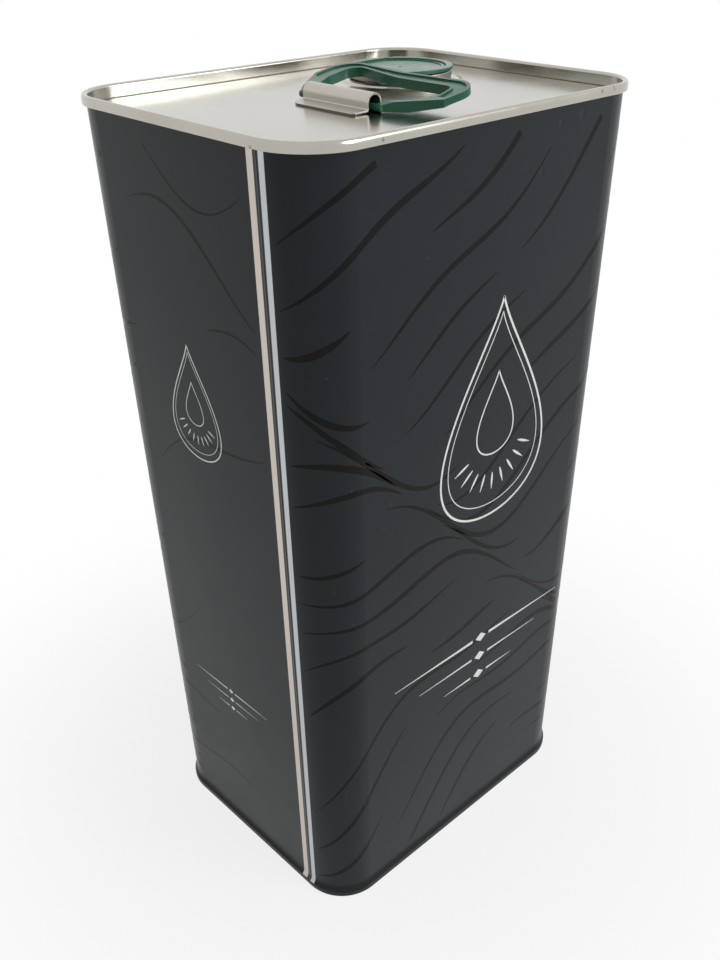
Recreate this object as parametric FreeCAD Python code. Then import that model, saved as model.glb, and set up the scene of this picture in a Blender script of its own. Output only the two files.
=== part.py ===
import FreeCAD, Part
import math
import os

# Five litre oil tin: a rounded rectangular can with a hinged carrying handle and a pull-out pouring spout.
# Millimetres. The origin is the middle of the base, +Z is up, and the printed front faces -Y.

# Can
can_width = 149.0
can_depth = 117.0
can_height = 305.0
corner_radius = 18.0
plate = 0.28

# Double seams that join the ends to the body
seam_height = 3.0
seam_play = 0.12
hook_length = 1.7
compound_thickness = 0.30
bead_radius = 0.75
countersink_depth = 4.0
groove_width = 1.1
groove_depth = 0.8
groove_radius = 0.4
panel_land = 1.0
base_border = 6.0
base_step_run = 2.4
base_step_rise = 1.0

# Welded side seam, on the left wall beside the bend of the front corner
weld_margin = 1.6
weld_width = 1.0
weld_proud = 0.12

# Handle clip, a strap welded to the lid that holds the hinge bar
clip_to_spout = 48.9
clip_y = -6.5
clip_length = 30.0
clip_sheet = 0.6
clip_width = 6.0
clip_shift = 0.5
clip_height = 5.5
clip_crown = 2.2
clip_bend = 0.4
clip_flange = 6.0
clip_flange_rise = 0.4
clip_front_round = 1.5
clip_rear_round = 5.0
clip_lip = 1.4

# Carrying handle, a closed moulded ring that rests a little raised
handle_tilt = 9.5
handle_thickness = 2.1
hinge_bar_radius = 1.1
hinge_lift = 0.3
arm_gap = 0.7
arm_rise = 0.5
arm_rise_reach = 2.5
arm_drop = 0.75
arm_drop_reach = 4.4
arm_end_reach = 13.0
front_root = 2.4
front_flare = 14.9
front_splay = 1.6
front_corner_reach = 11.0
front_waist = 7.3
front_waist_reach = 5.8
front_inner_reach = 13.4
front_inner_slant = 1.5
front_end_radius = 9.0
front_band = 6.1
front_inner_radius = 3.0
rear_root = 4.2
rear_flare = 10.1
rear_corner_reach = 15.0
rear_inner_reach = 14.0
rear_end_radius = 9.0
rear_band = 8.0
rear_inner_radius = 4.5
grip_reach = 27.4
grip_bulge = 0.7
grip_width = 5.6
rear_grip_width = 4.0
grip_wave = 3.2
wave_radius = 25.0
wave_start = -6.0
wave_lag = 3.0
corner_round = 0.6
outer_rim = 1.2
inner_rim = 0.9
channel_depth = 0.5
channel_start = 12.5
lip_width = 1.2
lip_drop = 0.85
lip_start = 7.0

# Neck pressed up from the lid
spout_from_right = 40.0
spout_from_back = 41.5
boss_radius = 22.6
boss_run = 3.0
boss_height = 0.9
neck_radius = 16.7
neck_lip = 0.7
neck_height = 2.72

# Spout closure
fit_gap = 0.05
move_gap = 0.35
cap_gap = 0.2
collar_radius = 18.2
collar_edge = 0.5
crimp_lift = 0.25
crimp_room = 0.3
flange_thickness = 0.5
flange_lip = 0.5
flange_skirt = 6.3
spout_wall = 0.8
fold_depth = 20.0
fold_knee = 3.0
fold_bend = 5.0
nozzle_bore = 8.0
nozzle_wall = 1.3
nozzle_foot = 1.0
thread_room = 0.6
liner_thickness = 1.2
liner_gap = 0.1
cap_top = 0.45
cap_skirt_wall = 1.4
cap_skirt_length = 12.0
cap_step_width = 1.2
cap_step_height = 0.25
ring_radius = 18.5
ring_width = 2.5
ring_height = 1.03
ring_lift = 0.1
ring_edge = 0.3
tab_angle = 92.0
tab_spread = 38.0

# Levels and places that follow from the sizes above
lid_level = can_height - countersink_depth
seam_layer = plate + seam_play
seam_proud = 3 * seam_layer
chuck_wall = -plate - seam_play
rim_inner = chuck_wall - plate
groove_edge = rim_inner - groove_width
panel_edge = groove_edge - plate - panel_land
hook_top = can_height - plate - compound_thickness
weld_y = corner_radius + weld_margin - can_depth / 2
spout_x = can_width / 2 - spout_from_right
spout_y = can_depth / 2 - spout_from_back
clip_x = spout_x - clip_to_spout
clip_front = clip_y - clip_length / 2
clip_rear = clip_y + clip_length / 2
hinge_level = lid_level + hinge_lift + hinge_bar_radius
neck_bore = neck_radius - plate
neck_rim = neck_radius + neck_lip
flange_top = neck_height + fit_gap + flange_thickness
collar_inner = collar_radius - plate
collar_top = flange_top + plate
skirt_outer = neck_bore - fit_gap
skirt_inner = skirt_outer - spout_wall
skirt_foot = flange_top - flange_skirt
cap_under = collar_top + cap_gap
cap_floor = cap_under + cap_top
ring_inner = ring_radius - ring_width
ring_under = cap_under + ring_lift
ring_top = ring_under + ring_height
cap_radius = ring_inner - move_gap
tab_chord = ring_radius * math.cos(math.radians(tab_spread))
ring_end = tab_chord - move_gap
nozzle_outer = nozzle_bore + nozzle_wall
nozzle_base = skirt_foot - fold_depth
nozzle_top = cap_under - fit_gap - liner_thickness - liner_gap
fold_foot = nozzle_base + nozzle_foot + fit_gap
fold_inner = nozzle_outer + move_gap
fold_outer = fold_inner + spout_wall
cap_skirt_inner = nozzle_outer + thread_room
cap_skirt_outer = cap_skirt_inner + cap_skirt_wall

ORIGIN = FreeCAD.Vector(0, 0, 0)
Z_AXIS = FreeCAD.Vector(0, 0, 1)


def on_xz(a, b):
    return FreeCAD.Vector(a, 0, b)


def on_xy(a, b):
    return FreeCAD.Vector(a, b, 0)


def rounded_wire(corners, place):
    """Closed outline through corners (a, b) or (a, b, radius), where the radius rounds that corner."""
    starts = []
    middles = []
    ends = []
    for i, corner in enumerate(corners):
        here = place(corner[0], corner[1])
        radius = corner[2] if len(corner) > 2 else 0.0
        to_before = (place(*corners[i - 1][:2]) - here).normalize()
        to_after = (place(*corners[(i + 1) % len(corners)][:2]) - here).normalize()
        half = to_before.getAngle(to_after) / 2
        reach = radius / math.tan(half)
        inward = (to_before + to_after).normalize()
        starts.append(here + to_before * reach)
        middles.append(here + inward * (radius / math.sin(half) - radius))
        ends.append(here + to_after * reach)
    edges = []
    for i, corner in enumerate(corners):
        following = starts[(i + 1) % len(corners)]
        if len(corner) > 2:
            edges.append(Part.Arc(starts[i], middles[i], ends[i]).toShape())
        edges.append(Part.LineSegment(ends[i], following).toShape())
    return Part.Wire(edges)


def section(corners):
    return Part.Face(rounded_wire(corners, on_xz))


def plan(corners):
    return Part.Face(rounded_wire(corners, on_xy))


def inset(corners, distance):
    """The same outline, listed anticlockwise, with every side moved inwards and its corners to suit."""
    moved = []
    for i, corner in enumerate(corners):
        here = on_xy(*corner[:2])
        along_in = (here - on_xy(*corners[i - 1][:2])).normalize()
        along_out = (on_xy(*corners[(i + 1) % len(corners)][:2]) - here).normalize()
        normal_in = Z_AXIS.cross(along_in)
        normal_out = Z_AXIS.cross(along_out)
        shift = (normal_in + normal_out) * (distance / (1 + normal_in.dot(normal_out)))
        bends_left = along_in.cross(along_out).z > 0
        radius = corner[2] - distance if bends_left else corner[2] + distance
        moved.append((here.x + shift.x, here.y + shift.y, max(radius, corner_round / 2)))
    return moved


def turned(corners):
    """Solid of revolution about the spout's axis, from radii and heights above the lid."""
    solid = section(corners).revolve(ORIGIN, Z_AXIS, 360)
    solid.translate(FreeCAD.Vector(spout_x, spout_y, lid_level))
    return solid


def round_the_can(corners):
    """Carry a section of (outward offset from the wall, height) round the four sides and corners."""
    face = section([(corner_radius + c[0],) + tuple(c[1:]) for c in corners])
    inset_x = can_width / 2 - corner_radius
    inset_y = can_depth / 2 - corner_radius
    centres = [(inset_x, inset_y), (-inset_x, inset_y), (-inset_x, -inset_y), (inset_x, -inset_y)]
    lengths = [2 * inset_y, 2 * inset_x, 2 * inset_y, 2 * inset_x]
    pieces = []
    for i in range(4):
        side = face.extrude(FreeCAD.Vector(0, lengths[i], 0))
        corner = face.revolve(ORIGIN, Z_AXIS, 90)
        for piece, centre in ((side, centres[i - 1]), (corner, centres[i])):
            piece.rotate(ORIGIN, Z_AXIS, 90 * i)
            piece.translate(on_xy(*centre))
            pieces.append(piece)
    return pieces[0].multiFuse(pieces[1:]).removeSplitter()


def can_slab(offset, bottom, top):
    """Plate with the can's plan, grown by offset from the outside of the wall."""
    half_x = can_width / 2 + offset
    half_y = can_depth / 2 + offset
    radius = corner_radius + offset
    corners = [(1, 1), (-1, 1), (-1, -1), (1, -1)]
    slab = plan([(half_x * sx, half_y * sy, radius) for sx, sy in corners])
    slab = slab.extrude(FreeCAD.Vector(0, 0, top - bottom))
    slab.translate(FreeCAD.Vector(0, 0, bottom))
    return slab


def upside_down(corners):
    return [(c[0], can_height - c[1]) + tuple(c[2:]) for c in reversed(corners)]


def hook_corners():
    """The body's flange at its top, from the inside of the wall over to the outside of the wall."""
    hook_outer = 2 * seam_layer
    return [
        (-plate, hook_top, plate),
        (hook_outer, hook_top, plate),
        (hook_outer, hook_top - hook_length),
        (hook_outer - plate, hook_top - hook_length),
        (hook_outer - plate, hook_top - plate),
        (0, hook_top - plate),
    ]


def end_corners():
    """An end's edge: the hook in the seam, the rim, the chuck wall and the groove round the panel."""
    seam_foot = can_height - seam_height
    end_hook_top = hook_top - plate - seam_play
    groove_floor = lid_level - groove_depth
    inner_bead = bead_radius - plate
    return [
        (panel_edge, lid_level),
        (panel_edge, lid_level - plate),
        (groove_edge - plate, lid_level - plate),
        (groove_edge - plate, groove_floor - plate, groove_radius + plate / 2),
        (chuck_wall, groove_floor - plate, groove_radius + plate),
        (chuck_wall, can_height - plate, inner_bead),
        (seam_proud - plate, can_height - plate, inner_bead),
        (seam_proud - plate, seam_foot + plate),
        (seam_layer, seam_foot + plate),
        (seam_layer, end_hook_top),
        (seam_play, end_hook_top),
        (seam_play, seam_foot),
        (seam_proud, seam_foot, plate),
        (seam_proud, can_height, bead_radius),
        (rim_inner, can_height, bead_radius),
        (rim_inner, groove_floor, groove_radius),
        (groove_edge, groove_floor, groove_radius),
        (groove_edge, lid_level, plate),
    ]


def compound_corners():
    """Sealing compound between the rim of an end and the body's flange."""
    inner = chuck_wall + bead_radius - plate
    outer = seam_proud - bead_radius
    top = hook_top + compound_thickness
    return [(inner, hook_top), (outer, hook_top), (outer, top), (inner, top)]


def ogee(r_low, r_high, z_low, z_high):
    """Smooth rise of two equal arcs, level at both ends, as edges from the low end to the high end."""
    run = r_low - r_high
    rise = z_high - z_low
    turn = 2 * math.atan2(rise, run)
    radius = run / (2 * math.sin(turn))
    sag_run = radius * math.sin(turn / 2)
    sag_rise = radius * (1 - math.cos(turn / 2))
    middle = on_xz((r_low + r_high) / 2, (z_low + z_high) / 2)
    lower = Part.Arc(on_xz(r_low, z_low), on_xz(r_low - sag_run, z_low + sag_rise), middle)
    upper = Part.Arc(middle, on_xz(r_high + sag_run, z_high - sag_rise), on_xz(r_high, z_high))
    return [lower.toShape(), upper.toShape()]


def body_shell():
    """Rolled wall with a flange at each end and the raised lap of its weld."""
    hook = hook_corners()
    shell = round_the_can(hook + upside_down(hook))
    lap_height = can_height - 2 * (seam_height + seam_play)
    lap_corner = FreeCAD.Vector(
        -can_width / 2 - weld_proud, weld_y - weld_width / 2, seam_height + seam_play
    )
    lap = Part.makeBox(weld_proud + plate / 2, weld_width, lap_height, lap_corner)
    return shell.fuse(lap).removeSplitter()


def spout_neck():
    """Raised boss of the lid and the lipped neck that stands on it."""
    boss_top = boss_radius - boss_run
    upper = ogee(boss_radius, boss_top, 0, boss_height)
    lower = ogee(boss_radius, boss_top, -plate, boss_height - plate)
    path = [
        (boss_top, boss_height),
        (neck_radius, boss_height),
        (neck_radius, neck_height - plate),
        (neck_rim, neck_height - plate),
        (neck_rim, neck_height),
        (neck_bore, neck_height),
        (neck_bore, boss_height - plate),
        (boss_top, boss_height - plate),
    ]
    edges = list(upper)
    for start, end in zip(path, path[1:]):
        edges.append(Part.LineSegment(on_xz(*start), on_xz(*end)).toShape())
    edges += reversed(lower)
    edges.append(Part.LineSegment(on_xz(boss_radius, -plate), on_xz(boss_radius, 0)).toShape())
    neck = Part.Face(Part.Wire(edges)).revolve(ORIGIN, Z_AXIS, 360)
    neck.translate(FreeCAD.Vector(spout_x, spout_y, lid_level))
    return neck


def top_end():
    panel = can_slab(panel_edge, lid_level - plate, lid_level)
    hole = Part.makeCylinder(boss_radius, 2 * plate)
    hole.translate(FreeCAD.Vector(spout_x, spout_y, lid_level - 1.5 * plate))
    rim = round_the_can(end_corners())
    return rim.multiFuse([panel.cut(hole), spout_neck()]).removeSplitter()


def bottom_end():
    """The lid's edge turned over, with a panel pressed out in one shallow step."""
    land = panel_edge - base_border
    field = land - base_step_run
    step = [
        (panel_edge, lid_level),
        (land, lid_level),
        (field, lid_level + base_step_rise),
        (field, lid_level + base_step_rise - plate),
        (land, lid_level - plate),
        (panel_edge, lid_level - plate),
    ]
    field_level = countersink_depth - base_step_rise
    rim = round_the_can(upside_down(end_corners()))
    border = round_the_can(upside_down(step))
    return rim.multiFuse([border, can_slab(field, field_level, field_level + plate)]).removeSplitter()


def top_seam_compound():
    return round_the_can(compound_corners())


def bottom_seam_compound():
    return round_the_can(upside_down(compound_corners()))


def handle_clip():
    """Omega strap: a wide sloping flange, an arch over the hinge bar and a short lip."""
    half = clip_width / 2
    inner = half - clip_sheet
    outer_bend = clip_bend + clip_sheet
    crown = clip_crown + clip_sheet
    strap = section([
        (-half - clip_flange, 0),
        (-inner, clip_flange_rise, outer_bend),
        (-inner, clip_height - clip_sheet, clip_crown),
        (inner, clip_height - clip_sheet, clip_crown),
        (inner, 0, outer_bend),
        (half + clip_lip, 0),
        (half + clip_lip, clip_sheet),
        (half, clip_sheet, clip_bend),
        (half, clip_height, crown),
        (-half, clip_height, crown),
        (-half, clip_sheet + clip_flange_rise, clip_bend),
        (-half - clip_flange, clip_sheet),
    ]).extrude(FreeCAD.Vector(0, clip_length, 0))
    flange_end = strap.BoundBox.XMin + clip_sheet
    for end, radius in ((0, clip_front_round), (clip_length, clip_rear_round)):
        at_end = [e for e in strap.Edges if abs(e.CenterOfMass.y - end) < clip_sheet]
        strap = strap.makeFillet(radius, [e for e in at_end if e.BoundBox.XMax < flange_end])
    strap.translate(FreeCAD.Vector(clip_x - clip_shift, clip_front, lid_level))
    return strap


def handle_outlines():
    """Outer and inner outline of the handle, as reach from the hinge and place along it, anticlockwise."""
    front_inner = clip_front - arm_gap
    rear_inner = clip_rear + arm_gap
    front_corner = front_inner - front_root - front_flare
    front_end = front_corner - front_splay
    rear_end = rear_inner + rear_root + rear_flare
    rear_reach = grip_reach + grip_wave
    outer = [
        (0, front_inner - front_root, corner_round),
        (front_corner_reach, front_corner, corner_round),
        (grip_reach + grip_bulge, front_end, front_end_radius),
        (grip_reach, wave_start, wave_radius),
        (rear_reach, rear_end, rear_end_radius),
        (rear_corner_reach, rear_end, corner_round),
        (0, rear_inner + rear_root, corner_round),
    ]
    inner_reach = grip_reach - grip_width
    inner = [
        (0, front_inner, corner_round),
        (hinge_bar_radius, front_inner, corner_round),
        (front_waist_reach, front_inner - front_waist, corner_round),
        (front_inner_reach, front_end + front_band, corner_round),
        (inner_reach, front_end + front_band + front_inner_slant, front_inner_radius),
        (inner_reach, wave_start - wave_lag, wave_radius),
        (rear_reach - rear_grip_width, rear_end - rear_band, rear_inner_radius),
        (rear_inner_reach, rear_end - rear_band, rear_inner_radius),
        (hinge_bar_radius, rear_inner, corner_round),
        (0, rear_inner, corner_round),
    ]
    return outer, inner


def between(outer, inner, bottom, top):
    """Upright ring between two outlines of the handle."""
    rise = FreeCAD.Vector(0, 0, top - bottom)
    ring = plan(outer).extrude(rise).cut(plan(inner).extrude(rise))
    ring.translate(FreeCAD.Vector(0, 0, bottom))
    return ring


def handle_block(start, bottom, top):
    """Block over all of the handle that lies further from the hinge than start."""
    reach = grip_reach + grip_wave
    corner = FreeCAD.Vector(start, -can_depth / 2, bottom)
    return Part.makeBox(reach, can_depth, top - bottom, corner)


def handle():
    """Moulded ring with a channel in its top and a lip under its inner edge, on a bar in the clip."""
    outer, inner = handle_outlines()
    half = handle_thickness / 2
    front_end = outer[2][1]
    span = outer[4][1] - front_end
    far = grip_reach + grip_wave
    side = section([
        (0, -half),
        (arm_drop_reach, -half - arm_drop),
        (arm_end_reach, -half),
        (far, -half),
        (far, half),
        (arm_end_reach, half),
        (arm_rise_reach, half + arm_rise),
        (0, half),
    ]).extrude(FreeCAD.Vector(0, span, 0))
    side.translate(on_xy(0, front_end))
    band = between(outer, inner, -handle_thickness, handle_thickness).common(side)
    floor = half - channel_depth
    channel = between(inset(outer, outer_rim), inset(inner, -inner_rim), floor, handle_thickness)
    channel = channel.common(handle_block(channel_start, floor, handle_thickness))
    lip = between(inset(inner, -lip_width), inner, -half - lip_drop, 0)
    lip = lip.common(handle_block(lip_start, -half - lip_drop, 0))
    bar_start = outer[0][1]
    bar_length = outer[-1][1] - bar_start
    bar = Part.makeCylinder(hinge_bar_radius, bar_length, on_xy(0, bar_start), FreeCAD.Vector(0, 1, 0))
    ring = band.fuse(lip).cut(channel).fuse(bar).removeSplitter()
    ring.rotate(ORIGIN, FreeCAD.Vector(0, -1, 0), handle_tilt)
    ring.translate(FreeCAD.Vector(clip_x, 0, hinge_level))
    return ring


def spout_collar():
    """Crimped ring that grips the spout's flange and the lip of the neck."""
    foot = boss_height + crimp_lift
    return turned([
        (neck_radius + crimp_room, foot),
        (collar_radius, foot, collar_edge),
        (collar_radius, collar_top, collar_edge),
        (skirt_inner, collar_top),
        (skirt_inner, flange_top),
        (collar_inner, flange_top, collar_edge - plate),
        (collar_inner, foot + plate, collar_edge - plate),
        (neck_radius + crimp_room, foot + plate),
    ])


def spout_flange():
    """Fixed edge of the flexible spout, hooked over the neck and hanging inside it."""
    lip_outer = collar_inner - fit_gap
    lip_inner = neck_rim + fit_gap
    lip_foot = flange_top - flange_thickness - flange_lip
    return turned([
        (skirt_inner, skirt_foot),
        (skirt_outer, skirt_foot),
        (skirt_outer, neck_height + fit_gap),
        (lip_inner, neck_height + fit_gap),
        (lip_inner, lip_foot),
        (lip_outer, lip_foot),
        (lip_outer, flange_top, collar_edge),
        (skirt_inner, flange_top),
    ])


def spout_fold():
    """Flexible wall that lies turned in at rest and turns out when the spout is pulled up."""
    upper_knee = skirt_foot - fold_knee
    lower_knee = fold_foot + fold_knee
    return turned([
        (skirt_outer, skirt_foot),
        (skirt_inner, skirt_foot),
        (skirt_inner, upper_knee, fold_bend),
        (fold_inner, lower_knee, fold_bend),
        (fold_inner, fold_foot),
        (fold_outer, fold_foot),
        (fold_outer, lower_knee, fold_bend),
        (skirt_outer, upper_knee, fold_bend),
    ])


def spout_nozzle():
    """Pouring tube with a foot where the flexible wall joins it."""
    return turned([
        (nozzle_bore, nozzle_base),
        (fold_outer, nozzle_base),
        (fold_outer, nozzle_base + nozzle_foot),
        (nozzle_outer, nozzle_base + nozzle_foot),
        (nozzle_outer, nozzle_top, nozzle_wall / 3),
        (nozzle_bore, nozzle_top, nozzle_wall / 3),
    ])


def cap_liner():
    radius = cap_skirt_inner - move_gap
    foot = nozzle_top + liner_gap
    return turned([(0, foot), (radius, foot), (radius, foot + liner_thickness), (0, foot + liner_thickness)])


def block_at_tab(near, far, left, right):
    """Upright block over the closure: near and far from its axis towards the tab, left and right across."""
    block = Part.makeBox(far - near, right - left, 2 * ring_height)
    block.translate(on_xy(near, left))
    block.rotate(ORIGIN, Z_AXIS, tab_angle)
    block.translate(FreeCAD.Vector(spout_x, spout_y, lid_level + cap_under))
    return block


def beyond_tab_line(distance):
    return block_at_tab(distance, 2 * ring_radius, -2 * ring_radius, 2 * ring_radius)


def ring_end_room():
    """Space in the cap's edge for the ends of the lift ring, which dip inwards as the ring swings up."""
    near = tab_chord - ring_height - 3 * move_gap
    half = math.sqrt(ring_inner ** 2 - ring_end ** 2) - move_gap
    left = block_at_tab(near, tab_chord, -ring_radius, -half)
    right = block_at_tab(near, tab_chord, half, ring_radius)
    return [left, right]


def cap():
    """Screw cap: a recessed top, a skirt over the nozzle and a raised tab that carries the lift ring."""
    skirt_end = cap_under - cap_skirt_length
    step = cap_radius - cap_step_width
    shell = turned([
        (0, cap_under),
        (cap_skirt_inner, cap_under),
        (cap_skirt_inner, skirt_end),
        (cap_skirt_outer, skirt_end),
        (cap_skirt_outer, cap_under),
        (cap_radius, cap_under),
        (cap_radius, cap_floor + cap_step_height),
        (step, cap_floor + cap_step_height),
        (step, cap_floor),
        (0, cap_floor),
    ])
    disc = turned([
        (0, cap_under),
        (ring_radius, cap_under),
        (ring_radius, ring_top, ring_edge),
        (0, ring_top),
    ])
    tab = disc.common(beyond_tab_line(tab_chord))
    return shell.cut(ring_end_room()).fuse(tab).removeSplitter()


def lift_ring():
    """Ring that folds flat round the cap, with both of its ends hinged to the tab."""
    ring = turned([
        (ring_inner, ring_under),
        (ring_radius, ring_under),
        (ring_radius, ring_top, ring_edge),
        (ring_inner, ring_top, ring_edge),
    ])
    return ring.cut(beyond_tab_line(ring_end))


parts = {
    "body_shell": body_shell(),
    "top_end": top_end(),
    "bottom_end": bottom_end(),
    "top_seam_compound": top_seam_compound(),
    "bottom_seam_compound": bottom_seam_compound(),
    "handle_clip": handle_clip(),
    "handle": handle(),
    "spout_collar": spout_collar(),
    "spout_flange": spout_flange(),
    "spout_fold": spout_fold(),
    "spout_nozzle": spout_nozzle(),
    "cap_liner": cap_liner(),
    "cap": cap(),
    "lift_ring": lift_ring(),
}

os.makedirs("parts", exist_ok=True)
for name, shape in parts.items():
    shape.exportStep("parts/" + name + ".step")
    print(name, len(shape.Solids), shape.isValid(), round(shape.Volume, 1))
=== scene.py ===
import math
import random

import bmesh
import bpy
from mathutils import Matrix, Vector

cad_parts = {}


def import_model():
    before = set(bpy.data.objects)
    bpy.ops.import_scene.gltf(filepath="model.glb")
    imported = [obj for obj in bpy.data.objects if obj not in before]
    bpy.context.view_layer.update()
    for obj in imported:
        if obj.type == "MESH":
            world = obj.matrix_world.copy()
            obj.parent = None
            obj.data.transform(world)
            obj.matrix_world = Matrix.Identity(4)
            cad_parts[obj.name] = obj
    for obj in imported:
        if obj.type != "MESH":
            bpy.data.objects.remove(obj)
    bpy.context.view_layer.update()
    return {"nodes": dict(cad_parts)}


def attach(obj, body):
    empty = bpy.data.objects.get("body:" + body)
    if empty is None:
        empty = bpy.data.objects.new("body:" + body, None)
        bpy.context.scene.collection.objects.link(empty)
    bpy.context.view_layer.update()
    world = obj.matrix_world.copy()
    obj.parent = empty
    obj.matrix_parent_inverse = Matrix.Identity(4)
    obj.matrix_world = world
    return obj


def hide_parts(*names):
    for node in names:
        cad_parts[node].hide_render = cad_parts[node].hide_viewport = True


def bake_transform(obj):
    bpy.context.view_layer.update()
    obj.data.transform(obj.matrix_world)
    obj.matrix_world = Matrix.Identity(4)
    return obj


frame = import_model()
NODES = frame["nodes"]
MM = 0.001
UP = Vector((0.0, 0.0, 1.0))

# The tin's outside wall between its seams, and distances round it from the middle of the front.
WALL_X = 74.5 * MM
WALL_Y = 58.5 * MM
CORNER = 18.0 * MM
STRAIGHT_X = WALL_X - CORNER
STRAIGHT_Y = WALL_Y - CORNER
ARC = CORNER * math.pi / 2
FRONT_END = STRAIGHT_X + ARC
SIDE_END = FRONT_END + 2 * STRAIGHT_Y
BACK_START = SIDE_END + ARC
HALF_ROUND = BACK_START + STRAIGHT_X

# Thin rings round the wall, as profiles of (distance off the wall, height) in mm.
FLARE = ((-0.03, 6.2), (0.06, 5.4), (0.20, 4.7), (0.42, 4.1), (0.72, 3.6), (1.10, 3.12), (1.10, 3.0),
         (-0.03, 3.0))
ROLL = ((0.35, 304.97), (0.50, 305.04), (0.72, 305.03), (0.95, 304.92), (1.17, 304.65), (1.32, 304.30),
        (1.40, 303.90), (1.42, 303.40), (1.42, 302.24), (1.05, 302.14), (0.90, 302.40), (0.90, 304.20),
        (0.45, 304.70))
RING_SECTIONS = 720
RING_SHARP = math.radians(50.0)

# The welded lap on the left wall and the bare strips beside it, as distances along Y.
LEFT_WALL = -0.9 * STRAIGHT_X - CORNER
STRIP_BACK = -34.95 * MM
LAP_BACK = -37.8 * MM
RIDGE_BACK = -38.6 * MM
RIDGE_FRONT = -39.4 * MM
LAP_FRONT = -40.1 * MM
STRIP_FRONT = -42.4 * MM
STRIP_BLUR = 0.15 * MM
LAP_BLUR = 0.12 * MM

# Shallow knocks high on the front wall, dark nicks along the rim (both in mm), and the height below which
# the clip is darkened: its cut edge, and partly a painted shade under its flange.
DENTS = ((40.8, -58.5, 298.2), (30.2, -58.5, 297.0), (22.2, -58.5, 284.1))
DENT_RADIUS = 1.5 * MM
DENT_DEPTH = 14.0
NICKS = ((-75.7, -39.1, 302.3), (-48.3, -59.7, 303.5), (48.2, -59.7, 303.8), (54.6, -59.7, 304.2))
NICK_RADIUS = 1.0 * MM
CLIP_SHADE_LINE = 301.52 * MM
SHADE_LINE_BLUR = 0.03 * MM

# Printed lines stand a hair proud of the wall, and are level over most of their width.
PRINT_LOW = 9.0 * MM
PRINT_HIGH = 297.5 * MM
VARNISH_RISE = 0.035 * MM
INK_RISE = 0.05 * MM
LEVEL_SHARE = 0.97

# Gloss varnish waves: their rows and shape in mm, and the ranges in mm that their strokes are drawn from.
WAVE_SEED = 11
WAVE_ROWS = range(-9, 27)
ROW_PITCH = 14.0
SWELL, SWELL_RUN, SWELL_LAG = 26.0, 37.0, 0.30
RIPPLE, RIPPLE_RUN, RIPPLE_LAG = 7.0, 14.5, 0.8
CLIMB = 0.24
FIRST_GAP = (2.0, 40.0)
STROKE_LENGTH = (34.0, 120.0)
STROKE_WIDTH = (1.5, 2.6)
STROKE_GAP = (10.0, 46.0)
STROKE_TIP = 0.10
STROKE_SWELL = 0.7
STROKE_STEP = 1.4 * MM
SHORTEST_STROKE = 18.0 * MM
FEWEST_STEPS = 8
LAST_START = HALF_ROUND - 20.0 * MM
LAST_END = HALF_ROUND - 2.0 * MM
SIDE_ROWS = 3
SIDE_WIDTH = 0.5
BARE_START = -FRONT_END - 8.5 * MM
BARE_END = -FRONT_END + 4.0 * MM

# The plain ornament in silver ink, in units of its own size: (width, height, line) of each drop.
DROPS = ((62.0, 84.0, 0.9), (54.0, 74.0, 0.4), (22.0, 32.0, 0.6))
DROP_STEPS = 96
DROP_FULLNESS = 1.3
DROP_SHARPNESS = 1.6
# A fan of strokes in the drop, from an arc of one radius to an arc that is a little flat.
FAN_TURNS = range(-4, 5)
FAN_STEP = 16.0
FAN_CENTRE = 9.0
FAN_INNER = 15.0
FAN_OUTER_WIDE = 23.0
FAN_OUTER_LOW = 22.0
FAN_WIDTHS = (0.3, 0.8, 1.0, 1.0, 0.8, 0.5, 0.2)
# Rules below it as (drop, reach, line), each in two halves with a lozenge between them.
RULES = ((0.0, 36.0, 1.1), (8.0, 25.0, 0.8), (16.0, 13.0, 0.8))
RULE_GAP = 4.0
RULE_STEPS = 12
RULE_TAPER = 0.85
LOZENGE_STEPS = 4
LOZENGE_STEP = 0.6
LOZENGE_TIP = 0.2
LOZENGE_SWELL = 3.4
# Where each ornament stands: (distance round the wall, drop's height and size, rules' height and size).
ORNAMENTS = (
    (8.0 * MM, 206.0 * MM, 1.0 * MM, 104.0 * MM, 1.25 * MM),
    (-FRONT_END - STRAIGHT_Y - 6.0 * MM, 215.0 * MM, 0.5 * MM, 84.0 * MM, 0.6 * MM),
)

# The pull-out spout, about its own upright axis.
SPOUT = Vector((34.5 * MM, 17.0 * MM, 0.0))
FOLD_TOP = 297.97 * MM
FOLD_FOOT = 279.02 * MM
FOLD_TOP_RADIUS = 15.97 * MM
FOLD_FOOT_RADIUS = 10.05 * MM
FOLD_WALL = 0.8 * MM
FOLD_STEPS = 28
FOLD_SECTIONS = 96
THREAD_PITCH = 3.0 * MM
THREAD_TURNS = 2.2
THREAD_SECTIONS = 64
THREAD_FOOT = 0.55 * MM
THREAD_CREST = 0.22 * MM
THREAD_RUN_OUT = 8.0
THREAD_END = 0.06
NECK_RADIUS = 9.3 * MM
NECK_CREST = 9.72 * MM
NECK_THREAD_LOW = 295.0 * MM
BORE_RADIUS = 9.9 * MM
BORE_CREST = 9.48 * MM
BORE_THREAD_LOW = 293.5 * MM
CAP_FLOOR = 305.20 * MM

# The film hinges between the lift ring's ends and the cap's tab, thinnest in their middle.
RING_TOP = 305.88 * MM
TAB_ANGLE = math.radians(92.0)
TAB_LINE = 14.58 * MM
RING_END = 14.23 * MM
HINGE_SIDE = 9.50 * MM
HINGE_OVERLAP = 0.35 * MM
HINGE_STEPS = 8
HINGE_HALF = 0.62 * MM
HINGE_SPREAD = 0.30 * MM
HINGE_THIN = 0.16 * MM
HINGE_THICKEN = 0.12 * MM
HINGE_LIFT = 0.02 * MM

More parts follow.
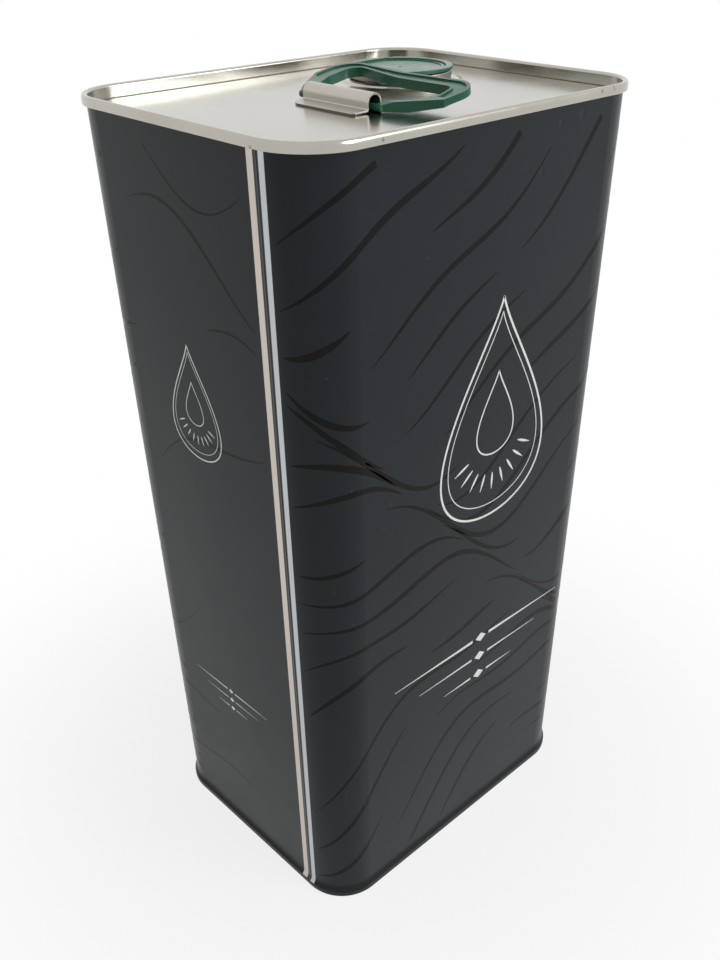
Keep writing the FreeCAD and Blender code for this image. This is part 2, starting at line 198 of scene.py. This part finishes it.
# Low round marks: places in mm, the way they face, radius and height.
WELD_SPOTS = ((-21.2, -20.2, 301.74), (-20.3, 5.8, 301.82))
WELD_FACING = (-0.07, 0.0, 1.0)
WELD_RADIUS = 0.9 * MM
WELD_RISE = 0.16 * MM
EJECTOR_SPOTS = ((10.62, -0.71, 307.14), (9.7, -18.48, 306.99))
EJECTOR_FACING = (-0.17, 0.0, 0.99)
EJECTOR_RADIUS = 1.1 * MM
EJECTOR_RISE = 0.07 * MM
GATE_RADIUS = 0.75 * MM
GATE_RISE = 0.10 * MM
MARK_PROFILE = ((0.55, 0.94), (0.80, 0.72), (0.95, 0.30), (1.0, -0.6))
MARK_SIDES = 24

# How far the edges of the moulded nodes are rounded.
SOFT_EDGES = {"handle": 0.60 * MM, "cap": 0.15 * MM, "lift_ring": 0.22 * MM}
SOFT_SEGMENTS = 3
SOFT_ANGLE = math.radians(40.0)

# The floor in metres, and how much of the tin's shadow shows on it close by.
FLOOR_RADII = (0.6, 3.0, 12.0)
FLOOR_SIDES = 64
SHADOW_START, SHADOW_END = 0.08, 0.30
SHADOW_SHARE = 0.20

# The camera of the photograph, for a frame of 720 by 960: azimuth, elevation and roll in degrees.
CAMERA_ANGLES = (-43.885, 35.802, -0.303)
CAMERA_PLACE = (-0.23608, -0.254227, 0.356664)
CAMERA_SENSOR = 36.0
CAMERA_LENS = 36.068
CAMERA_SHIFT = (-0.02437, 0.10504)
CAMERA_CLIP = 0.01


def colour(red, green, blue):
    return (red, green, blue, 1.0)


class Graph:
    """A node tree written as sums over coordinates."""

    def __init__(self, owner, coordinates):
        owner.use_nodes = True
        self.tree = owner.node_tree
        self.place = self.add("ShaderNodeTexCoord").outputs[coordinates]
        split = self.add("ShaderNodeSeparateXYZ", Vector=self.place)
        self.x, self.y, self.z = split.outputs

    def add(self, kind, settings=None, **inputs):
        node = self.tree.nodes.new(kind)
        for key, value in (settings or {}).items():
            setattr(node, key, value)
        for key, value in inputs.items():
            self.put(node.inputs[key], value)
        return node

    def put(self, socket, value):
        if isinstance(value, bpy.types.NodeSocket):
            self.tree.links.new(value, socket)
        else:
            socket.default_value = value

    def math(self, operation, *values):
        node = self.add("ShaderNodeMath", {"operation": operation})
        for socket, value in zip(node.inputs, values):
            self.put(socket, value)
        return node.outputs[0]

    def times(self, first, second):
        return self.math("MULTIPLY", first, second)

    def span(self, value, low, high, start=0.0, end=1.0):
        """Runs smoothly from start to end while value runs from low to high."""
        node = self.add("ShaderNodeMapRange", {"interpolation_type": "SMOOTHSTEP"})
        for socket, given in zip(node.inputs, (value, low, high, start, end)):
            self.put(socket, given)
        return node.outputs[0]

    def band(self, value, low, high, soft):
        """One between low and high, and nothing outside."""
        rise = self.span(value, low - soft, low + soft)
        fall = self.span(value, high - soft, high + soft, 1.0, 0.0)
        return self.times(rise, fall)

    def vary(self, noise, start, end):
        """Runs from start to end over most of a noise's range."""
        return self.span(noise, 0.3, 0.7, start, end)

    def mix(self, factor, first, second):
        """A colour between two."""
        node = self.add("ShaderNodeMix", {"data_type": "RGBA"})
        self.put(node.inputs[0], factor)
        self.put(node.inputs[6], first)
        self.put(node.inputs[7], second)
        return node.outputs[2]

    def between(self, factor, first, second):
        """A number between two."""
        node = self.add("ShaderNodeMix")
        self.put(node.inputs[0], factor)
        self.put(node.inputs[2], first)
        self.put(node.inputs[3], second)
        return node.outputs[0]

    def stretched(self, x, y, z):
        node = self.add("ShaderNodeVectorMath", {"operation": "MULTIPLY"})
        self.put(node.inputs[0], self.place)
        self.put(node.inputs[1], (x, y, z))
        return node.outputs[0]

    def noise(self, scale, detail=3.0, vector=None):
        node = self.add("ShaderNodeTexNoise", Scale=scale, Detail=detail, Roughness=0.55)
        self.put(node.inputs["Vector"], vector or self.place)
        return node.outputs[0]

    def cells(self, scale):
        """The distance to the nearest of many scattered points, in cells."""
        node = self.add("ShaderNodeTexVoronoi", Scale=scale, Vector=self.place)
        return node.outputs["Distance"]

    def near(self, points, radius):
        """One close to any of a few points in mm, and nothing beyond the radius."""
        total = 0.0
        for point in points:
            node = self.add("ShaderNodeVectorMath", {"operation": "DISTANCE"})
            self.put(node.inputs[0], self.place)
            self.put(node.inputs[1], Vector(point) * MM)
            spot = self.span(node.outputs["Value"], radius * 0.4, radius, 1.0, 0.0)
            total = self.math("MAXIMUM", total, spot)
        return total

    def seen(self, path):
        """One where the camera looks, straight, through something clear or by a reflection."""
        clear = self.math("MAXIMUM", path["Is Camera Ray"], path["Is Transmission Ray"])
        return self.math("MAXIMUM", clear, path["Is Glossy Ray"])


class Look(Graph):
    """A procedural material over an object's own coordinates."""

    def __init__(self, name):
        self.material = bpy.data.materials.new(name)
        super().__init__(self.material, "Object")
        self.shader = self.tree.nodes["Principled BSDF"]

    def set(self, **inputs):
        for key, value in inputs.items():
            self.put(self.shader.inputs[key.replace("_", " ")], value)

    def bump(self, height, distance, strength):
        node = self.add("ShaderNodeBump", Height=height, Distance=distance, Strength=strength)
        self.put(self.shader.inputs["Normal"], node.outputs[0])


def bare_weld(look, tone, gloss):
    """Bares the plate beside the welded lap, warmer on the side that ran hot, and burns the lap dark."""
    left = look.math("LESS_THAN", look.x, LEFT_WALL)
    strips = look.times(look.band(look.y, STRIP_FRONT, STRIP_BACK, STRIP_BLUR), left)
    lap = look.times(look.band(look.y, LAP_FRONT, LAP_BACK, LAP_BLUR), left)
    ridge = look.times(look.band(look.y, RIDGE_FRONT, RIDGE_BACK, STRIP_BLUR), left)
    burnt = look.math("SUBTRACT", lap, look.times(ridge, 0.12))
    streak = look.noise(30.0, 4.0, look.stretched(40.0, 40.0, 2.0))
    heated = look.math("GREATER_THAN", look.y, LAP_BACK)
    dull = look.mix(heated, colour(0.40, 0.42, 0.435), colour(0.46, 0.42, 0.375))
    bright = look.mix(heated, colour(0.52, 0.545, 0.565), colour(0.58, 0.535, 0.485))
    plate = look.mix(streak, dull, bright)
    plate = look.mix(look.times(burnt, 0.92), plate, colour(0.030, 0.029, 0.030))
    look.set(Metallic=look.times(strips, look.math("SUBTRACT", 1.0, burnt)))
    gloss = look.between(strips, gloss, look.vary(streak, 0.16, 0.26))
    return look.mix(strips, tone, plate), gloss


def lacquer_look(name, welded):
    """Satin blue-black lacquer; on the wall it is left off along the weld and knocked in a few places."""
    look = Look(name)
    cloud = look.noise(26.0, 4.0)
    tone = look.mix(cloud, colour(0.0110, 0.0150, 0.0172), colour(0.0150, 0.0200, 0.0228))
    dust = look.times(look.span(look.cells(170.0), 0.035, 0.060, 1.0, 0.0),
                      look.span(look.noise(60.0), 0.52, 0.60))
    tone = look.mix(dust, tone, colour(0.060, 0.063, 0.064))
    gloss = look.vary(cloud, 0.28, 0.35)
    height = look.math("ADD", look.times(look.noise(2600.0, 2.0), 0.35), look.noise(420.0, 2.0))
    if welded:
        tone, gloss = bare_weld(look, tone, gloss)
        dents = look.times(look.near(DENTS, DENT_RADIUS), DENT_DEPTH)
        height = look.math("SUBTRACT", height, dents)
    look.set(Base_Color=tone, Roughness=gloss, Specular_IOR_Level=0.16)
    look.bump(height, 0.012 * MM, 0.5)
    return look.material


def tinplate_look(name, nicks=(), pale=1.0, dull=0.0, shaded_cut_edge=None):
    """Bright tinplate with a rolled grain, handling marks and a few dark nicks."""
    look = Look(name)
    rolled = look.noise(60.0, 4.0, look.stretched(1.0, 18.0, 18.0))
    cloud = look.noise(38.0, 3.0)
    metal = look.mix(cloud, colour(0.40 * pale, 0.385 * pale, 0.340 * pale),
                     colour(0.52 * pale, 0.503 * pale, 0.452 * pale))
    metal = look.mix(look.span(rolled, 0.58, 0.75, 0.0, 0.35), metal, colour(0.46, 0.44, 0.40))
    spangle = look.span(look.cells(700.0), 0.02, 0.10, 0.5, 0.0)
    metal = look.mix(spangle, metal, colour(0.30, 0.285, 0.26))
    if nicks:
        broken = look.span(look.noise(1100.0, 2.0), 0.42, 0.60, 0.0, 0.55)
        worn = look.times(look.near(nicks, NICK_RADIUS), broken)
        metal = look.mix(worn, metal, colour(0.060, 0.052, 0.045))
    # Below a given height the clip is darkened: partly its bare cut edge, partly a painted shade of the
    # gap under its flange.
    if shaded_cut_edge:
        shaded_below = look.span(look.z, shaded_cut_edge - SHADE_LINE_BLUR, shaded_cut_edge + SHADE_LINE_BLUR, 0.85, 0.0)
        metal = look.mix(shaded_below, metal, colour(0.055, 0.045, 0.038))
    look.set(Base_Color=metal, Metallic=1.0, Roughness=look.vary(cloud, 0.14 + dull, 0.21 + dull))
    height = look.math("ADD", look.noise(900.0, 2.0), look.times(rolled, 0.8))
    look.bump(height, 0.02 * MM, 0.35)
    return look.material


def green_look():
    """Dark green moulded plastic with faint scuffs and flecks."""
    look = Look("dark_green_plastic")
    cloud = look.noise(75.0, 3.0)
    green = look.mix(cloud, colour(0.0245, 0.1180, 0.0700), colour(0.0320, 0.1400, 0.0850))
    scuffed = look.times(look.span(look.noise(520.0, 4.0), 0.60, 0.72), look.span(cloud, 0.5, 0.7))
    green = look.mix(look.times(scuffed, 0.14), green, colour(0.035, 0.100, 0.068))
    flecks = look.span(look.cells(430.0), 0.03, 0.06, 0.07, 0.0)
    green = look.mix(flecks, green, colour(0.030, 0.075, 0.052))
    look.set(Base_Color=green, Specular_IOR_Level=0.3, Roughness=look.vary(cloud, 0.20, 0.30))
    look.bump(look.math("ADD", look.noise(1500.0, 3.0), look.noise(240.0, 2.0)), 0.015 * MM, 0.12)
    return look.material


def natural_look():
    """Milky polyethylene, as the spout behind the cap is moulded from."""
    look = Look("milky_polyethylene")
    cloud = look.noise(90.0, 3.0)
    look.set(Base_Color=look.mix(cloud, colour(0.70, 0.70, 0.66), colour(0.80, 0.80, 0.765)))
    look.set(Roughness=look.vary(cloud, 0.34, 0.46), Subsurface_Weight=0.25, Subsurface_Scale=0.002)
    look.bump(look.noise(1300.0, 2.0), 0.02 * MM, 0.4)
    return look.material


def rubbery_look(name, dark, pale, scale):
    """A matt, slightly pitted compound or foam."""
    look = Look(name)
    look.set(Base_Color=look.mix(look.noise(scale, 4.0), dark, pale))
    look.set(Roughness=look.vary(look.noise(scale * 2.0), 0.55, 0.75))
    look.bump(look.cells(scale * 3.0), 0.05 * MM, 0.6)
    return look.material


def varnish_look():
    """Clear gloss varnish over the satin lacquer."""
    look = Look("gloss_varnish")
    cloud = look.noise(160.0, 3.0)
    look.set(Base_Color=look.mix(cloud, colour(0.0050, 0.0050, 0.0050), colour(0.0085, 0.0085, 0.0083)))
    look.set(Roughness=look.vary(cloud, 0.10, 0.17), Specular_IOR_Level=0.10)
    look.bump(look.noise(700.0, 2.0), 0.01 * MM, 0.3)
    return look.material


def foil_look():
    """Silver ink, as the tin's plain ornament is printed in."""
    look = Look("silver_ink")
    cloud = look.noise(220.0, 4.0)
    look.set(Base_Color=look.mix(cloud, colour(0.70, 0.705, 0.70), colour(0.84, 0.845, 0.84)))
    look.set(Metallic=0.35, Roughness=look.vary(cloud, 0.32, 0.44))
    look.bump(look.noise(1800.0, 2.0), 0.01 * MM, 0.4)
    return look.material


LACQUER = lacquer_look("satin_black_lacquer", True)
END_LACQUER = lacquer_look("black_end_lacquer", False)
LID = tinplate_look("bright_tinplate", nicks=NICKS)
CLIP = tinplate_look("formed_tinplate", pale=1.05, dull=0.15, shaded_cut_edge=CLIP_SHADE_LINE)
COLLAR = tinplate_look("crimped_tinplate", pale=0.70, dull=0.22)
GREEN = green_look()
NATURAL = natural_look()
COMPOUND = rubbery_look("seam_compound", colour(0.055, 0.050, 0.045), colour(0.095, 0.088, 0.080), 500.0)
FOAM = rubbery_look("liner_foam", colour(0.62, 0.61, 0.57), colour(0.76, 0.75, 0.71), 900.0)
VARNISH = varnish_look()
FOIL = foil_look()

FINISH = {
    "body_shell": LACQUER, "bottom_end": END_LACQUER, "top_end": LID, "handle_clip": CLIP,
    "spout_collar": COLLAR, "top_seam_compound": COMPOUND, "bottom_seam_compound": COMPOUND,
    "handle": GREEN, "cap": GREEN, "lift_ring": GREEN, "spout_flange": NATURAL,
    "spout_fold": NATURAL, "spout_nozzle": NATURAL, "cap_liner": FOAM,
}
for name, material in FINISH.items():
    slots = NODES[name].data.materials
    slots.clear()
    slots.append(material)


def link(name, builder, material):
    """Turns a bmesh into an object in the scene."""
    mesh = bpy.data.meshes.new(name)
    builder.to_mesh(mesh)
    builder.free()
    mesh.materials.append(material)
    made = bpy.data.objects.new(name, mesh)
    bpy.context.scene.collection.objects.link(made)
    return made


def piece(name, builder, material, smooth=True):
    """Makes one piece of the part from a bmesh and gives it its finish."""
    bmesh.ops.recalc_face_normals(builder, faces=builder.faces)
    made = link(name, builder, material)
    for polygon in made.data.polygons:
        polygon.use_smooth = smooth
    return made


def tube(builder, sections, closed=False):
    """Joins equal loops of points with faces, and closes the ends."""
    loops = [[builder.verts.new(point) for point in section] for section in sections]
    pairs = list(zip(loops, loops[1:])) + ([(loops[-1], loops[0])] if closed else [])
    for first, second in pairs:
        for i in range(len(first)):
            j = (i + 1) % len(first)
            builder.faces.new((first[i], first[j], second[j], second[i]))
    if not closed:
        builder.faces.new(loops[0])
        builder.faces.new(loops[-1])


def ray(share):
    """The level direction at a share of a full turn."""
    angle = 2 * math.pi * share
    return Vector((math.cos(angle), math.sin(angle), 0.0))


def on_wall(along, height, lift):
    """The point on the outside wall at a distance round it from the middle of the front."""
    side = 1.0 if along >= 0.0 else -1.0
    run = abs(along)
    if run <= STRAIGHT_X:
        x, y = run, -WALL_Y - lift
    elif run <= FRONT_END:
        turn = (run - STRAIGHT_X) / CORNER
        x = STRAIGHT_X + (CORNER + lift) * math.sin(turn)
        y = -STRAIGHT_Y - (CORNER + lift) * math.cos(turn)
    elif run <= SIDE_END:
        x, y = WALL_X + lift, run - FRONT_END - STRAIGHT_Y
    elif run <= BACK_START:
        turn = (run - SIDE_END) / CORNER
        x = STRAIGHT_X + (CORNER + lift) * math.cos(turn)
        y = STRAIGHT_Y + (CORNER + lift) * math.sin(turn)
    else:
        x, y = STRAIGHT_X - (run - BACK_START), WALL_Y + lift
    return Vector((side * x, y, height))


def line_on_wall(builder, path, widths, lift, closed=False):
    """A thin raised line along a path of (distance round the wall, height) points."""
    sections = []
    count = len(path)
    for i, (along, height) in enumerate(path):
        before = path[i - 1] if closed or i else path[0]
        after = path[(i + 1) % count] if closed or i + 1 < count else path[-1]
        run = Vector((after[0] - before[0], after[1] - before[1])).normalized()
        out = Vector((-run.y, run.x)) * widths[i] / 2
        level = out * LEVEL_SHARE
        corners = ((out, 0.0), (level, lift), (-level, lift), (-out, 0.0))
        sections.append([on_wall(along + step.x, height + step.y, rise) for step, rise in corners])
    tube(builder, sections, closed)


def on_side(along):
    return FRONT_END < abs(along) < SIDE_END


def wave_height(row, along):
    """How high a row's wave stands at a distance round the wall."""
    run = along / MM
    swell = SWELL * math.sin(run / SWELL_RUN + SWELL_LAG * row)
    ripple = RIPPLE * math.sin(run / RIPPLE_RUN + RIPPLE_LAG * row)
    return (row * ROW_PITCH + swell + ripple + CLIMB * run) * MM


def stretches(flags):
    """The start and stop of each run of true flags."""
    start = None
    for i, flag in enumerate(flags + [False]):
        if flag and start is None:
            start = i
        elif not flag and start is not None:
            yield start, i
            start = None


def stroke(builder, row, low, high, widest):
    """One stroke of a row's wave, where it lies in the printed height; few rows cross the sides."""
    steps = max(FEWEST_STEPS, int((high - low) / STROKE_STEP))
    path, widths = [], []
    for i in range(steps + 1):
        share = i / steps
        along = low + (high - low) * share
        path.append((along, wave_height(row, along)))
        full = widest * (SIDE_WIDTH if on_side(along) else 1.0)
        widths.append(full * max(STROKE_TIP, math.sin(math.pi * share) ** STROKE_SWELL))
    crosses = row % SIDE_ROWS == 0
    shown = [PRINT_LOW < height < PRINT_HIGH and (crosses or not on_side(along)) for along, height in path]
    for start, stop in stretches(shown):
        if stop - start > FEWEST_STEPS:
            line_on_wall(builder, path[start:stop], widths[start:stop], VARNISH_RISE)


def flowing_lines():
    """Loose, broken waves in gloss varnish that wander round the whole tin, but not over the weld."""
    builder = bmesh.new()
    chance = random.Random(WAVE_SEED)
    for row in WAVE_ROWS:
        along = -HALF_ROUND + chance.uniform(*FIRST_GAP) * MM
        while along < LAST_START:
            length = chance.uniform(*STROKE_LENGTH) * MM
            widest = chance.uniform(*STROKE_WIDTH) * MM
            end = min(along + length, LAST_END)
            runs = [(along, end)]
            if along < BARE_END and end > BARE_START:
                runs = [(along, BARE_START), (BARE_END, end)]
            for low, high in runs:
                if high - low >= SHORTEST_STROKE:
                    stroke(builder, row, low, high, widest)
            along = end + chance.uniform(*STROKE_GAP) * MM
    return piece("varnish_lines", builder, VARNISH, False)


def drop_path(along, height, width, tall):
    """A drop with its point up, as a closed path on the wall."""
    path = []
    for i in range(DROP_STEPS):
        turn = 2 * math.pi * (i + 0.5) / DROP_STEPS
        reach = DROP_FULLNESS * math.sin(turn) * math.sin(turn / 2) ** DROP_SHARPNESS
        path.append((along + width / 2 * reach, height + tall / 2 * math.cos(turn)))
    return path


def drop_emblem(builder, along, height, size):
    """Nested drops with a fan of short strokes between them."""
    for width, tall, line in DROPS:
        path = drop_path(along, height, width * size, tall * size)
        line_on_wall(builder, path, [line * size] * len(path), INK_RISE, True)
    centre = Vector((along, height - FAN_CENTRE * size))
    last = len(FAN_WIDTHS) - 1
    for turn in FAN_TURNS:
        lean = math.radians(FAN_STEP * turn)
        across, down = math.sin(lean), math.cos(lean)
        inner = centre + Vector((FAN_INNER * across, -FAN_INNER * down)) * size
        outer = centre + Vector((FAN_OUTER_WIDE * across, -FAN_OUTER_LOW * down)) * size
        path = [inner.lerp(outer, i / last) for i in range(last + 1)]
        line_on_wall(builder, path, [line * size for line in FAN_WIDTHS], INK_RISE)


def rules(builder, along, height, size):
    """Three thinning rules, each with a lozenge in its middle."""
    for drop, reach, line in RULES:
        level = height - drop * size
        shares = [i / RULE_STEPS for i in range(RULE_STEPS + 1)]
        for side in (-1.0, 1.0):
            path = [(along + side * (RULE_GAP + reach * share) * size, level) for share in shares]
            widths = [line * size * (1.0 - RULE_TAPER * share) for share in shares]
            line_on_wall(builder, path, widths, INK_RISE)
        places = range(-LOZENGE_STEPS, LOZENGE_STEPS + 1)
        path = [(along + i * LOZENGE_STEP * size, level) for i in places]
        widths = [(LOZENGE_TIP + LOZENGE_SWELL * (1.0 - abs(i) / LOZENGE_STEPS)) * size for i in places]
        line_on_wall(builder, path, widths, INK_RISE)


def printed_ornaments():
    builder = bmesh.new()
    for along, drop_height, drop_size, rules_height, rules_size in ORNAMENTS:
        drop_emblem(builder, along, drop_height, drop_size)
        rules(builder, along, rules_height, rules_size)
    return piece("silver_ornaments", builder, FOIL, False)


def wall_ring(name, profile, material):
    """A ring round the tin, from a profile of (distance off the wall, height) points in mm."""
    builder = bmesh.new()
    sections = []
    for i in range(RING_SECTIONS):
        along = -HALF_ROUND + 2 * HALF_ROUND * i / RING_SECTIONS
        sections.append([on_wall(along, height * MM, lift * MM) for lift, height in profile])
    tube(builder, sections, True)
    made = piece(name, builder, material)
    made.data.set_sharp_from_angle(angle=RING_SHARP)
    return made


def fold_piece():
    """The thin wall that turns inside out when the spout is drawn up."""
    builder = bmesh.new()
    outer, inner = [], []
    for i in range(FOLD_STEPS + 1):
        share = i / FOLD_STEPS
        ease = share * share * (3 - 2 * share)
        radius = FOLD_TOP_RADIUS + (FOLD_FOOT_RADIUS - FOLD_TOP_RADIUS) * (share + ease) / 2
        height = FOLD_TOP + (FOLD_FOOT - FOLD_TOP) * share
        outer.append((radius + FOLD_WALL / 2, height))
        inner.append((radius - FOLD_WALL / 2, height))
    profile = outer + inner[::-1]
    sections = []
    for i in range(FOLD_SECTIONS):
        out = ray(i / FOLD_SECTIONS)
        sections.append([SPOUT + out * radius + UP * height for radius, height in profile])
    tube(builder, sections, True)
    return piece("fold_wall", builder, NATURAL)


def thread(name, root, crest, low, material):
    """A screw thread with run-out ends, as a ridge on a round wall."""
    builder = bmesh.new()
    sections = []
    steps = int(THREAD_TURNS * THREAD_SECTIONS)
    for i in range(steps + 1):
        turns = i / THREAD_SECTIONS
        fade = min(1.0, THREAD_RUN_OUT * i / steps, THREAD_RUN_OUT * (steps - i) / steps)
        top = root + (crest - root) * (THREAD_END + (1.0 - THREAD_END) * fade)
        centre = SPOUT + UP * (low + THREAD_PITCH * turns)
        profile = ((root, -THREAD_FOOT), (top, -THREAD_CREST), (top, THREAD_CREST), (root, THREAD_FOOT))
        sections.append([centre + ray(turns) * radius + UP * step for radius, step in profile])
    tube(builder, sections)
    return piece(name, builder, material)


def hinge_strap(name, side):
    """A thin bridge of plastic between the lift ring's end and the cap's tab."""
    out = Vector((math.cos(TAB_ANGLE), math.sin(TAB_ANGLE), 0.0))
    across = Vector((-out.y, out.x, 0.0))
    builder = bmesh.new()
    sections = []
    for i in range(HINGE_STEPS + 1):
        share = i / HINGE_STEPS
        reach = RING_END - HINGE_OVERLAP + (TAB_LINE - RING_END + 2 * HINGE_OVERLAP) * share
        flare = (2 * share - 1) ** 2
        half = across * (HINGE_HALF + HINGE_SPREAD * flare)
        thick = UP * (HINGE_THIN + HINGE_THICKEN * flare)
        centre = SPOUT + out * reach + across * side * HINGE_SIDE + UP * (RING_TOP + HINGE_LIFT)
        sections.append([centre + half, centre - half, centre - half - thick, centre + half - thick])
    tube(builder, sections)
    made = piece(name, builder, GREEN)
    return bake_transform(made)


def round_mark(builder, centre, facing, radius, rise):
    """A low round mark with a soft edge, seated a little into the surface."""
    turn = facing.normalized().to_track_quat("Z", "Y").to_matrix()
    rings = []
    for share, height in MARK_PROFILE:
        points = [ray(i / MARK_SIDES) * radius * share + UP * rise * height for i in range(MARK_SIDES)]
        rings.append([centre + turn @ point for point in points])
    tube(builder, rings)


def marks(name, places, facing, radius, rise, material):
    """A few low round marks of one size, at places in mm."""
    builder = bmesh.new()
    for place in places:
        round_mark(builder, Vector(place) * MM, Vector(facing), radius, rise)
    return piece(name, builder, material)


def gate_mark():
    """The moulding's gate in the middle of the cap's floor."""
    builder = bmesh.new()
    round_mark(builder, SPOUT + UP * CAP_FLOOR, UP, GATE_RADIUS, GATE_RISE)
    return piece("gate_mark", builder, GREEN)


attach(flowing_lines(), "tin")
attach(wall_ring("bottom_flare", FLARE, LACQUER), "tin")
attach(wall_ring("rim_roll", ROLL, LID), "tin")
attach(marks("clip_welds", WELD_SPOTS, WELD_FACING, WELD_RADIUS, WELD_RISE, LID), "tin")
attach(marks("ejector_marks", EJECTOR_SPOTS, EJECTOR_FACING, EJECTOR_RADIUS, EJECTOR_RISE,
              GREEN), "handle")
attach(printed_ornaments(), "tin")

fold = fold_piece()
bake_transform(fold)
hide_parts("spout_fold")
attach(thread("neck_thread", NECK_RADIUS, NECK_CREST, NECK_THREAD_LOW, NATURAL), "spout")
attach(thread("cap_thread", BORE_RADIUS, BORE_CREST, BORE_THREAD_LOW, GREEN), "cap")
hinge_strap("hinge_strap_left", 1.0)
hinge_strap("hinge_strap_right", -1.0)
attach(gate_mark(), "cap")


def soften(name, width):
    """Rounds a moulded node's sharp edges by a hair, so that they catch the light."""
    modifier = NODES[name].modifiers.new("soft_edges", "BEVEL")
    modifier.width = width
    modifier.segments = SOFT_SEGMENTS
    modifier.limit_method = "ANGLE"
    modifier.angle_limit = SOFT_ANGLE
    modifier.harden_normals = True


for name, width in SOFT_EDGES.items():
    soften(name, width)


def floor_look():
    """A pale floor, white to the camera and to gloss, with the tin's soft shadow."""
    look = Look("pale_floor")
    path = look.add("ShaderNodeLightPath").outputs
    away = look.math("SQRT", look.math("ADD", look.times(look.x, look.x), look.times(look.y, look.y)))
    white = look.add("ShaderNodeEmission")
    plain = look.add("ShaderNodeBsdfDiffuse", Color=colour(0.78, 0.775, 0.765))
    lit = look.span(away, SHADOW_START, SHADOW_END, 1.0 - SHADOW_SHARE, 1.0)
    shown = look.add("ShaderNodeMixShader", Fac=look.times(look.seen(path), lit))
    look.put(shown.inputs[1], plain.outputs[0])
    look.put(shown.inputs[2], white.outputs[0])
    look.put(look.tree.nodes["Material Output"].inputs["Surface"], shown.outputs[0])
    return look.material


def floor():
    builder = bmesh.new()
    rings = [[builder.verts.new(ray(i / FLOOR_SIDES) * radius) for i in range(FLOOR_SIDES)]
             for radius in FLOOR_RADII]
    builder.faces.new(rings[0])
    for first, second in zip(rings, rings[1:]):
        for i in range(FLOOR_SIDES):
            j = (i + 1) % FLOOR_SIDES
            builder.faces.new((first[i], first[j], second[j], second[i]))
    link("floor", builder, floor_look())


def world():
    """Even pale light all round, which the camera and gloss see as white."""
    made = bpy.data.worlds.new("studio")
    bpy.context.scene.world = made
    sky = Graph(made, "Generated")
    path = sky.add("ShaderNodeLightPath").outputs
    tone = sky.mix(sky.seen(path), colour(0.32, 0.318, 0.31), colour(1.0, 1.0, 1.0))
    sky.put(sky.tree.nodes["Background"].inputs["Color"], tone)


def soft_lamp(name, place, aim, size, power, tone):
    light = bpy.data.lights.new(name, "AREA")
    light.shape = "DISK"
    light.size = size
    light.energy = power
    light.color = tone
    made = bpy.data.objects.new(name, light)
    bpy.context.scene.collection.objects.link(made)
    made.location = place
    made.rotation_euler = (Vector(aim) - Vector(place)).to_track_quat("-Z", "Y").to_euler()
    return made


def lamps():
    """A broad lamp overhead, which gloss doesn't see, and a smaller one at the front right."""
    overhead = soft_lamp("overhead_softbox", place=(-0.10, -0.25, 1.60), aim=(0.0, 0.0, 0.2), size=1.4,
                         power=6.0, tone=(1.0, 0.985, 0.96))
    overhead.visible_glossy = False
    soft_lamp("front_softbox", place=(0.55, -1.10, 0.75), aim=(0.0, 0.0, 0.15), size=0.8,
              power=8.0, tone=(0.97, 0.99, 1.0))


def camera():
    """Stands where the photograph was taken."""
    azimuth, elevation, roll = (math.radians(angle) for angle in CAMERA_ANGLES)
    back = Vector((math.sin(azimuth) * math.cos(elevation), -math.cos(azimuth) * math.cos(elevation),
                   math.sin(elevation)))
    right = Vector((math.cos(azimuth), math.sin(azimuth), 0.0))
    up = back.cross(right)
    x_axis = right * math.cos(roll) + up * math.sin(roll)
    y_axis = up * math.cos(roll) - right * math.sin(roll)
    data = bpy.data.cameras.new("camera")
    data.sensor_width = CAMERA_SENSOR
    data.lens = CAMERA_LENS
    data.shift_x, data.shift_y = CAMERA_SHIFT
    data.clip_start = CAMERA_CLIP
    made = bpy.data.objects.new("camera", data)
    bpy.context.scene.collection.objects.link(made)
    turn = Matrix((x_axis, y_axis, back)).transposed()
    made.matrix_world = Matrix.Translation(CAMERA_PLACE) @ turn.to_4x4()
    bpy.context.scene.camera = made


floor()
world()
lamps()
camera()
bpy.context.scene.view_settings.view_transform = "Standard"
